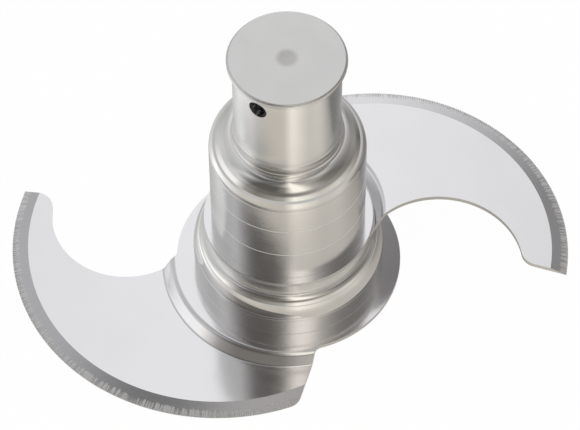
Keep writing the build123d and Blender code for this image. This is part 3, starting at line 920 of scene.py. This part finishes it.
def cap_nut(steels):
    """Hollow nut with its rimmed lid, waist, foot and cross hole."""
    rim = TOP_Z - RIM_HEIGHT
    foot = CAP_Z + CAP_FOOT_HEIGHT
    rounds = (RIM_ROUND, RIM_ROUND)
    fillets = (WAIST_FILLET, WAIST_FILLET)
    toe = (WAIST_RADIUS + CAP_FOOT_FILLET, foot + 0.35)
    profile = [(radius, TOP_Z - depth) for radius, depth in LID_HOLLOW]
    profile += arc((RIM_RADIUS - RIM_ROUND, TOP_Z - RIM_ROUND), rounds, 90, 0, 10)
    profile += arc((RIM_RADIUS - RIM_ROUND, rim + RIM_ROUND), rounds, 0, -90, 10)
    profile += arc((WAIST_RADIUS + WAIST_FILLET, rim - WAIST_FILLET), fillets, 90, 180, 8)
    profile += [(WAIST_RADIUS, foot + 0.8)]
    profile += arc(toe, (CAP_FOOT_FILLET, CAP_FOOT_FILLET), 180, 200, 2)
    profile += [(CAP_FOOT_RADIUS, foot - 0.1)]
    profile += list(reversed(edge_arc((CAP_FOOT_RADIUS, CAP_Z), EDGE_ROUND, -90, 0)))
    profile += [(CAP_BORE, CAP_Z), (CAP_BORE, CAP_THREAD_TOP), (CAP_HOLLOW_RADIUS, CAP_THREAD_TOP)]
    profile += [(CAP_HOLLOW_RADIUS, CAP_HOLLOW_TOP), (0, CAP_HOLLOW_TOP)]
    made = lathe("cap_nut", profile)
    made.data.materials.append(steels["cap"])
    made.data.materials.append(steels["lid"])
    paint(made, 1, lambda spot, normal: spot.z > TOP_Z - 1.2 and normal.z > 0.3)
    turn = Matrix.Rotation(math.radians(BAR_HOLE_ANGLE), 4, "Z") @ Matrix.Rotation(math.pi / 2, 4, "Y")
    drill(made, BAR_HOLE_RADIUS, (-30, 30), BAR_HOLE_Z, turn, steels["cap"], steps=96)
    return smooth(made)


def drill(made, radius, reach, height, turn, steel, steps):
    """Round hole through a piece, along an upright line that is turned and then lifted."""
    start, end = reach
    bit = lathe("bit", [(0, start), (radius, start), (radius, end), (0, end)], steps)
    bit.data.transform(Matrix.Translation((0, 0, height * MM)) @ turn)
    bit.data.materials.append(steel)
    return combine(made, bit, "DIFFERENCE")


def carrier_sleeve(steels):
    """Flanged tube under and inside the stack, with its threaded neck."""
    chamfer = SLEEVE_CHAMFER
    profile = [(TUBE_BORE + chamfer, 0), (FLANGE_RADIUS - chamfer, 0), (FLANGE_RADIUS, chamfer)]
    profile += edge_arc((FLANGE_RADIUS, LOWER_Z), EDGE_ROUND, 0, 90)
    profile += seal_notch(SEAL_RADIUS, LOWER_Z, -1)
    profile += [(TUBE_RADIUS, LOWER_Z), (TUBE_RADIUS, TUBE_TOP - chamfer), (TUBE_RADIUS - chamfer, TUBE_TOP)]
    profile += [(NECK_RADIUS, TUBE_TOP), (NECK_RADIUS, NECK_TOP - chamfer), (NECK_RADIUS - chamfer, NECK_TOP)]
    profile += [(BUSH_SEAT_RADIUS, NECK_TOP), (BUSH_SEAT_RADIUS, BUSH_SEAT_Z), (TUBE_BORE, BUSH_SEAT_Z)]
    profile += [(TUBE_BORE, CIRCLIP_GROOVE_TOP), (CIRCLIP_GROOVE_RADIUS, CIRCLIP_GROOVE_TOP)]
    profile += [(CIRCLIP_GROOVE_RADIUS, CIRCLIP_GROOVE_BOTTOM), (TUBE_BORE, CIRCLIP_GROOVE_BOTTOM)]
    profile += [(TUBE_BORE, chamfer)]
    made = lathe("carrier_sleeve", profile)
    made.data.materials.append(steels["sleeve"])
    cut_key_notch(made, LOWER_Z, TUBE_TOP, KEY_SLOT_FLOOR, TUBE_RADIUS + 1, KEY_SLOT_HALF_WIDTH)
    towards_key = Matrix.Rotation(-math.pi / 2, 4, "X")
    for height in KEY_SCREW_HEIGHTS:
        drill(made, KEY_SCREW_RADIUS, (10, 30), height, towards_key, steels["sleeve"], steps=48)
    return smooth(made)


# Finishes

def new_group(name, inputs, outputs):
    """Empty shader group that reads a position and named numbers, and puts out named values."""
    tree = bpy.data.node_groups.new(name, "ShaderNodeTree")
    tree.interface.new_socket("Position", in_out="INPUT", socket_type="NodeSocketVector")
    for label, value in inputs.items():
        socket = tree.interface.new_socket(label, in_out="INPUT", socket_type="NodeSocketFloat")
        socket.default_value = value
    for label in outputs:
        tree.interface.new_socket(label, in_out="OUTPUT", socket_type="NodeSocketFloat")
    return tree, tree.nodes.new("NodeGroupInput").outputs, tree.nodes.new("NodeGroupOutput").inputs


def noise(tree, vector, scale, detail=2.0, rough=0.5, w=None):
    """Noise texture on a vector, whose factor runs from 0 to 1."""
    node = tree.nodes.new("ShaderNodeTexNoise")
    node.noise_dimensions = "3D" if w is None else "4D"
    settings = {"Vector": vector, "Scale": scale, "Detail": detail, "Roughness": rough}
    if w is not None:
        settings["W"] = w
    for label, value in settings.items():
        feed(tree, value, node.inputs[label])
    return node.outputs["Fac"]


def remap(tree, value, low, high, to_low, to_high, smoothed=False):
    """Value mapped from one range to another, clamped."""
    node = tree.nodes.new("ShaderNodeMapRange")
    node.interpolation_type = "SMOOTHSTEP" if smoothed else "LINEAR"
    for socket, given in zip(node.inputs, (value, low, high, to_low, to_high)):
        feed(tree, given, socket)
    return node.outputs["Result"]


def mix(tree, share, first, second, kind="RGBA"):
    """Blend of two colours, or of two plain values, by a share from 0 to 1."""
    node = tree.nodes.new("ShaderNodeMix")
    node.data_type = kind
    place = 6 if kind == "RGBA" else 2
    feed(tree, share, node.inputs[0])
    feed(tree, first, node.inputs[place])
    feed(tree, second, node.inputs[place + 1])
    return node.outputs[2 if kind == "RGBA" else 0]


def choose_shader(tree, share, first, second):
    """First shader where the share is 0, second where it is 1."""
    node = tree.nodes.new("ShaderNodeMixShader")
    for socket, value in zip(node.inputs, (share, first, second)):
        tree.links.new(value, socket)
    return node.outputs[0]


def turned_marks_group():
    """Rings that a lathe tool leaves: a fine height, and slow bands from pass to pass."""
    tree, given, out = new_group("Turned marks", {"Lines per mm": 4.0, "Wander": 1.0}, ("Height", "Bands"))
    band_scale = 0.11
    reach = reach_from_middle(tree, given["Position"])
    way = parts_of(tree, way_from_middle(tree, given["Position"]))
    density = math_node(tree, "MULTIPLY", given["Lines per mm"], 1000.0)
    point = from_parts(
        tree,
        math_node(tree, "MULTIPLY", reach, density),
        math_node(tree, "MULTIPLY", way["X"], given["Wander"]),
        math_node(tree, "MULTIPLY", way["Y"], given["Wander"]),
    )
    height = math_node(tree, "MULTIPLY", parts_of(tree, given["Position"])["Z"], density)
    slow_height = math_node(tree, "MULTIPLY", height, band_scale)
    tree.links.new(noise(tree, point, 1.0, rough=0.6, w=height), out["Height"])
    tree.links.new(noise(tree, point, band_scale, detail=3.0, rough=0.6, w=slow_height), out["Bands"])
    return tree


def sheet_grain_group():
    """Fine straight grain of rolled and polished sheet, with a few longer hairlines."""
    tree, given, out = new_group("Sheet grain", {"Turn": 0.0}, ("Height", "Hairlines"))
    turn = tree.nodes.new("ShaderNodeVectorRotate")
    turn.rotation_type = "Z_AXIS"
    tree.links.new(given["Position"], turn.inputs["Vector"])
    tree.links.new(given["Turn"], turn.inputs["Angle"])
    fine = vector_node(tree, "MULTIPLY", turn.outputs[0], (260, 5200, 900))["Vector"]
    long = vector_node(tree, "MULTIPLY", turn.outputs[0], (22, 1900, 22))["Vector"]
    lines = noise(tree, long, 1.0, detail=1.0)
    tree.links.new(noise(tree, fine, 1.0, rough=0.55), out["Height"])
    tree.links.new(remap(tree, lines, 0.66, 0.78, 0.0, 1.0), out["Hairlines"])
    return tree


def handling_group():
    """Soft patches and small specks that handling and washing leave on steel."""
    inputs = {"Patch scale": 60.0, "Speck scale": 900.0}
    tree, given, out = new_group("Handling marks", inputs, ("Patches", "Specks"))
    specks = noise(tree, given["Position"], given["Speck scale"], detail=1.0)
    tree.links.new(noise(tree, given["Position"], given["Patch scale"], detail=3.0), out["Patches"])
    tree.links.new(remap(tree, specks, 0.62, 0.72, 0.0, 1.0), out["Specks"])
    return tree


def ground_strokes_group():
    """Strokes of a grinding wheel, square to a cutting edge that follows an arc, and a ragged band along the
    teeth, which is worn rougher and carries a painted sheen.
    """
    tree, given, out = new_group("Ground strokes", {"Edge radius": 0.085}, ("Height", "Wear and sheen"))
    tooth_reach = 0.003
    way = way_from_middle(tree, given["Position"])
    reach = reach_from_middle(tree, given["Position"])
    inside = math_node(tree, "SUBTRACT", given["Edge radius"], reach)
    teeth = noise(tree, way, 80.0, detail=1.0)
    ragged = math_node(tree, "ADD", inside, math_node(tree, "MULTIPLY", teeth, tooth_reach))
    band = remap(tree, ragged, 0.0037, 0.0046, 1.0, 0.0)
    gaps = remap(tree, teeth, 0.46, 0.54, 1.0, 0.1)
    tree.links.new(noise(tree, way, 900.0), out["Height"])
    # Band along the teeth, for their wear and for their painted sheen
    tree.links.new(math_node(tree, "MULTIPLY", band, gaps), out["Wear and sheen"])
    return tree


def new_material(name, metallic=1.0):
    """Node material with its shader and an object coordinate."""
    made = bpy.data.materials.new(name)
    made.use_nodes = True
    tree = made.node_tree
    shader = tree.nodes["Principled BSDF"]
    shader.inputs["Metallic"].default_value = metallic
    place = tree.nodes.new("ShaderNodeTexCoord")
    return made, tree, shader, place.outputs["Object"]


def use_group(tree, group, position, **values):
    """Group placed in a material, with its own values, named in lower case with underscores."""
    node = tree.nodes.new("ShaderNodeGroup")
    node.node_tree = group
    tree.links.new(position, node.inputs["Position"])
    for label, value in values.items():
        node.inputs[label.replace("_", " ").capitalize()].default_value = value
    return node.outputs


def tint(tree, shader, value, low, high, dark, light):
    """Base colour between two tones, by a value that changes over the surface."""
    colour = mix(tree, remap(tree, value, low, high, 0.0, 1.0), dark, light)
    tree.links.new(colour, shader.inputs["Base Color"])


def roughen(tree, shader, value, low, high, smooth_end, rough_end):
    """Roughness between two ends, by a value that changes over the surface."""
    rough = remap(tree, value, low, high, smooth_end, rough_end)
    tree.links.new(rough, shader.inputs["Roughness"])


def bump(tree, shader, height, distance_mm):
    """Relief of a surface, given as its depth in millimetres."""
    node = tree.nodes.new("ShaderNodeBump")
    node.inputs["Strength"].default_value = 1.0
    node.inputs["Distance"].default_value = distance_mm * MM
    tree.links.new(height, node.inputs["Height"])
    tree.links.new(node.outputs["Normal"], shader.inputs["Normal"])


def turned_steel(name, groups, tones, roughness, depth, lines=4.0):
    """Turned stainless steel with its tool marks and traces of handling."""
    made, tree, shader, position = new_material(name)
    marks = use_group(tree, groups["turned"], position, lines_per_mm=lines)
    hands = use_group(tree, groups["handling"], position)
    tint(tree, shader, marks["Bands"], 0.3, 0.7, *tones)
    wear = math_node(tree, "ADD", marks["Bands"], hands["Patches"])
    roughen(tree, shader, wear, 0.6, 1.4, *roughness)
    pits = math_node(tree, "MULTIPLY", hands["Specks"], 0.4)
    bump(tree, shader, math_node(tree, "SUBTRACT", marks["Height"], pits), depth)
    return made


def painted_highlight_edge_steel(groups):
    """Thin chamfer of a ring in pale, half-metallic steel whose colour is a painted highlight, so that the
    seam shows as a bright line; its fine scratches scatter the light.
    """
    made, tree, shader, position = new_material("broken edge steel with painted highlight", metallic=0.3)
    marks = use_group(tree, groups["turned"], position, lines_per_mm=2.0)
    # Near-white tones: a painted highlight along the chamfer
    tint(tree, shader, marks["Bands"], 0.3, 0.7, (0.94, 0.935, 0.925), (0.98, 0.975, 0.965))
    roughen(tree, shader, marks["Bands"], 0.3, 0.7, 0.35, 0.5)
    bump(tree, shader, marks["Height"], 0.002)
    return made


def faced_steel(name, groups, tones, roughness, depth):
    """Satin faced steel with soft patches and a darker round spot in its middle."""
    made, tree, shader, position = new_material(name)
    marks = use_group(tree, groups["turned"], position, lines_per_mm=3.0, wander=4.0)
    hands = use_group(tree, groups["handling"], position, patch_scale=90.0)
    outside = remap(tree, reach_from_middle(tree, position), 0.0028, 0.0054, 0.0, 1.0, smoothed=True)
    soft = remap(tree, hands["Patches"], 0.3, 0.7, 0.75, 1.0)
    tint(tree, shader, math_node(tree, "MULTIPLY", outside, soft), 0.0, 1.0, *tones)
    roughen(tree, shader, hands["Patches"], 0.3, 0.7, *roughness)
    bump(tree, shader, marks["Height"], depth)
    return made


def sheet_steel(name, groups, tones, roughness, depth, turn=0.3):
    """Bright stainless sheet with a fine straight grain."""
    made, tree, shader, position = new_material(name)
    grain = use_group(tree, groups["grain"], position, turn=turn)
    hands = use_group(tree, groups["handling"], position, patch_scale=45.0)
    tint(tree, shader, hands["Patches"], 0.3, 0.7, *tones)
    wear = math_node(tree, "ADD", hands["Patches"], math_node(tree, "MULTIPLY", grain["Hairlines"], 0.3))
    roughen(tree, shader, wear, 0.3, 0.9, *roughness)
    pits = math_node(tree, "MULTIPLY", hands["Specks"], 0.5)
    bump(tree, shader, math_node(tree, "SUBTRACT", grain["Height"], pits), depth)
    return made


def ground_steel(name, groups, edges, tones, roughness, depth):
    """Ground bevel or groove, with strokes square to both cutting edges, rougher where the teeth are and
    painted lighter there, a painted sheen of the teeth.
    """
    made, tree, shader, position = new_material(name)
    between_blades = (0.020, 0.021)
    upper = remap(tree, parts_of(tree, position)["Z"], *between_blades, 0.0, 1.0)
    strokes = []
    for centre, radius in edges:
        shift = tree.nodes.new("ShaderNodeMapping")
        shift.inputs["Location"].default_value = (-centre.x * MM, -centre.y * MM, 0)
        tree.links.new(position, shift.inputs["Vector"])
        strokes.append(use_group(tree, groups["strokes"], shift.outputs[0], edge_radius=radius * MM))
    low, high = strokes
    height = mix(tree, upper, low["Height"], high["Height"], "FLOAT")
    wear_and_sheen = mix(tree, upper, low["Wear and sheen"], high["Wear and sheen"], "FLOAT")
    # Along the teeth the tone is painted lighter, a painted sheen of their flanks, and the roughness rises
    # with their wear
    tint(tree, shader, wear_and_sheen, 0.0, 1.0, *tones)
    roughen(tree, shader, wear_and_sheen, 0.0, 1.0, *roughness)
    bump(tree, shader, height, depth)
    return made


def seal_rubber(groups):
    """Black moulded rubber, dull and slightly dusty."""
    made, tree, shader, position = new_material("seal rubber", metallic=0.0)
    hands = use_group(tree, groups["handling"], position, patch_scale=150.0)
    tint(tree, shader, hands["Patches"], 0.3, 0.7, (0.03, 0.03, 0.03), (0.06, 0.06, 0.058))
    roughen(tree, shader, hands["Patches"], 0.3, 0.7, 0.55, 0.8)
    bump(tree, shader, hands["Specks"], 0.02)
    return made


def make_finishes():
    """All materials of the head, by the surface that they finish.

    Each has its two tones, its two ends of roughness and its relief in millimetres.
    """
    groups = {
        "turned": turned_marks_group(),
        "grain": sheet_grain_group(),
        "handling": handling_group(),
        "strokes": ground_strokes_group(),
    }
    edges = [
        (polar(LOWER["edge_offset"], LOWER["edge_angle"]), LOWER["edge_radius"]),
        (polar(UPPER["edge_offset"], UPPER["edge_angle"] + UPPER["turn"]), UPPER["edge_radius"]),
    ]
    pale = ((0.88, 0.875, 0.865), (0.93, 0.925, 0.915))
    grey = ((0.84, 0.835, 0.825), (0.91, 0.905, 0.895))
    dark = ((0.36, 0.355, 0.35), (0.46, 0.455, 0.45))
    faced = ((0.58, 0.575, 0.57), (0.80, 0.795, 0.795))
    rolled = ((0.80, 0.795, 0.815), (0.84, 0.835, 0.855))
    cut = ((0.72, 0.72, 0.70), (0.82, 0.82, 0.80))
    # The light end of the bevel and tooth tones is the painted sheen along the teeth
    bevel = ((0.68, 0.675, 0.695), (0.82, 0.82, 0.83))
    tooth = ((0.80, 0.80, 0.81), (0.88, 0.88, 0.89))
    return {
        "cap": turned_steel("satin turned cap steel", groups, pale, (0.20, 0.28), 0.014),
        "lid": faced_steel("faced lid steel", groups, faced, (0.34, 0.44), 0.003),
        "ring": turned_steel("turned ring steel", groups, grey, (0.17, 0.24), 0.024),
        # Pale half-metallic chamfer steel, a painted highlight on the seams
        "arris_painted_highlight": painted_highlight_edge_steel(groups),
        "polished": turned_steel("polished shoulder steel", groups, grey, (0.05, 0.10), 0.0015),
        "sleeve": turned_steel("turned sleeve steel", groups, grey, (0.28, 0.40), 0.008, lines=2.5),
        "sheet": sheet_steel("bright blade sheet", groups, rolled, (0.10, 0.20), 0.0015),
        "sheared": sheet_steel("sheared sheet edge", groups, cut, (0.35, 0.5), 0.008, turn=1.2),
        "ground": ground_steel("ground bevel", groups, edges, bevel, (0.22, 0.58), 0.004),
        "groove": ground_steel("ground groove", groups, edges, tooth, (0.40, 0.60), 0.002),
        "bush": turned_steel("hardened bush steel", groups, dark, (0.25, 0.38), 0.004),
        "rubber": seal_rubber(groups),
    }


# Studio

def ramp(tree, value, stops):
    """Colour that runs through stops, given as place from 0 to 1 and colour."""
    node = tree.nodes.new("ShaderNodeValToRGB")
    band = node.color_ramp
    while len(band.elements) < len(stops):
        band.elements.new(0.5)
    for element, (place, colour) in zip(band.elements, sorted(stops)):
        element.position = place
        element.color = (*colour, 1)
    tree.links.new(value, node.inputs["Fac"])
    return node.outputs["Color"]


def plan_ramp(tree, share, column):
    """Colour by direction, from one column of the light plan."""
    stops = []
    for row in LIGHT_PLAN:
        level, warmth = row[column], row[WARMTH]
        colour = (level * (1 + WARM_RED * warmth), level, level * (1 - WARM_BLUE * warmth))
        stops.append(((row[0] + 180) / 360, colour))
    stops.append((1.0, stops[0][1]))
    return ramp(tree, share, stops)


def share_of_turn(tree, vector):
    """Turn of a direction round the upright axis from 0 to 1, with 0.5 towards the camera."""
    parts = parts_of(tree, vector)
    front = math_node(tree, "MULTIPLY", parts["Y"], -1.0)
    turn = math_node(tree, "ARCTAN2", parts["X"], front)
    return math_node(tree, "MULTIPLY_ADD", turn, 1 / math.tau, 0.5)


def studio_floor():
    """Pale floor: white to the camera, with cards and shade for the steel to mirror."""
    mesh = bpy.data.meshes.new("floor")
    side, low = FLOOR_HALF, -FLOOR_GAP
    mesh.from_pydata(
        [(-side, -side, low), (side, -side, low), (side, side, low), (-side, side, low)],
        [],
        [(0, 1, 2, 3)],
    )
    made = add_object("floor", mesh)
    material, tree, shader, position = new_material("pale floor", metallic=0.0)
    shader.inputs["Base Color"].default_value = (0.8, 0.8, 0.8, 1)
    shader.inputs["Roughness"].default_value = 0.9
    path = tree.nodes.new("ShaderNodeLightPath").outputs

    share = share_of_turn(tree, position)
    reach = reach_from_middle(tree, position)
    round_blades = remap(tree, reach, *FLOOR_ROUND_FROM, 0.0, 1.0, smoothed=True)
    far_off = remap(tree, reach, *FAR_FLOOR_FROM, 0.0, 1.0, smoothed=True)
    near = mix(tree, round_blades, plan_ramp(tree, share, FLOOR_CLOSE), plan_ramp(tree, share, FLOOR_ROUND))
    cards = tree.nodes.new("ShaderNodeEmission")
    tree.links.new(mix(tree, far_off, near, FAR_FLOOR), cards.inputs["Color"])
    white = tree.nodes.new("ShaderNodeEmission")
    seen = choose_shader(tree, path["Is Glossy Ray"], shader.outputs[0], cards.outputs[0])
    shown = math_node(tree, "MULTIPLY", path["Is Camera Ray"], FLOOR_WHITE)
    seen = choose_shader(tree, shown, seen, white.outputs[0])
    tree.links.new(seen, tree.nodes["Material Output"].inputs["Surface"])
    mesh.materials.append(material)


def studio_world():
    """Soft pale room: white to the camera, with cards and shade for the steel to mirror."""
    world = bpy.data.worlds.new("studio")
    world.use_nodes = True
    bpy.context.scene.world = world
    tree = world.node_tree
    path = tree.nodes.new("ShaderNodeLightPath").outputs
    direction = tree.nodes.new("ShaderNodeTexCoord").outputs["Generated"]
    share = share_of_turn(tree, direction)
    upright = parts_of(tree, direction)["Z"]
    room = plan_ramp(tree, share, HORIZON)
    for column, low, high in ROOM_BLENDS:
        raised = remap(tree, upright, low, high, 0.0, 1.0, smoothed=True)
        room = mix(tree, raised, room, plan_ramp(tree, share, column))

    plain = tree.nodes["Background"]
    plain.inputs["Color"].default_value = (0.9, 0.9, 0.9, 1)
    plain.inputs["Strength"].default_value = 0.9
    cards = tree.nodes.new("ShaderNodeBackground")
    tree.links.new(room, cards.inputs["Color"])
    white = tree.nodes.new("ShaderNodeBackground")
    white.inputs["Color"].default_value = (1, 1, 1, 1)
    seen = choose_shader(tree, path["Is Glossy Ray"], plain.outputs[0], cards.outputs[0])
    seen = choose_shader(tree, path["Is Camera Ray"], seen, white.outputs[0])
    tree.links.new(seen, tree.nodes["World Output"].inputs["Surface"])


def add_camera():
    """Camera at the photograph's place and angle."""
    data = bpy.data.cameras.new("camera")
    data.lens = CAMERA_LENS
    data.sensor_width = 36
    made = bpy.data.objects.new("camera", data)
    bpy.context.scene.collection.objects.link(made)
    right = Vector(CAMERA_RIGHT)
    up = Vector(CAMERA_UP)
    turn = Matrix((right, up, right.cross(up))).transposed()
    made.matrix_world = Matrix.Translation(CAMERA_PLACE) @ turn.to_4x4()
    bpy.context.scene.camera = made


def add_piece(piece, node):
    """Finished piece of the head that stands for a solid."""
    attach(piece, "root")
    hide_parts(node)


def dress_solids(frame, steels):
    """Finishes of the solids that are shown as they are."""
    for nodes, finish in ((HARD_NODES, "bush"), (SEAL_NODES, "rubber")):
        for node in nodes:
            mesh = frame["nodes"][node].data
            mesh.materials.clear()
            mesh.materials.append(steels[finish])


def main():
    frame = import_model()
    steels = make_finishes()
    tree = groove_tree(steels["groove"])
    add_piece(cap_nut(steels), "cap_nut")
    add_piece(pressure_ring(steels), "pressure_ring")
    for name, bottom in (("plain_spacer_1", SPACER_Z), ("plain_spacer_2", SPACER_Z + SPACER_HEIGHT)):
        add_piece(plain_spacer(name, bottom, steels), name)
    add_piece(shoulder_spacer(steels), "shoulder_spacer")
    add_piece(sickle_blade("upper_blade", UPPER, UPPER_Z, tree, steels), "upper_blade")
    add_piece(sickle_blade("lower_blade", LOWER, LOWER_Z, tree, steels), "lower_blade")
    add_piece(carrier_sleeve(steels), "carrier_sleeve")
    dress_solids(frame, steels)
    studio_floor()
    studio_world()
    add_camera()
    bpy.context.scene.view_settings.view_transform = "Standard"


main()
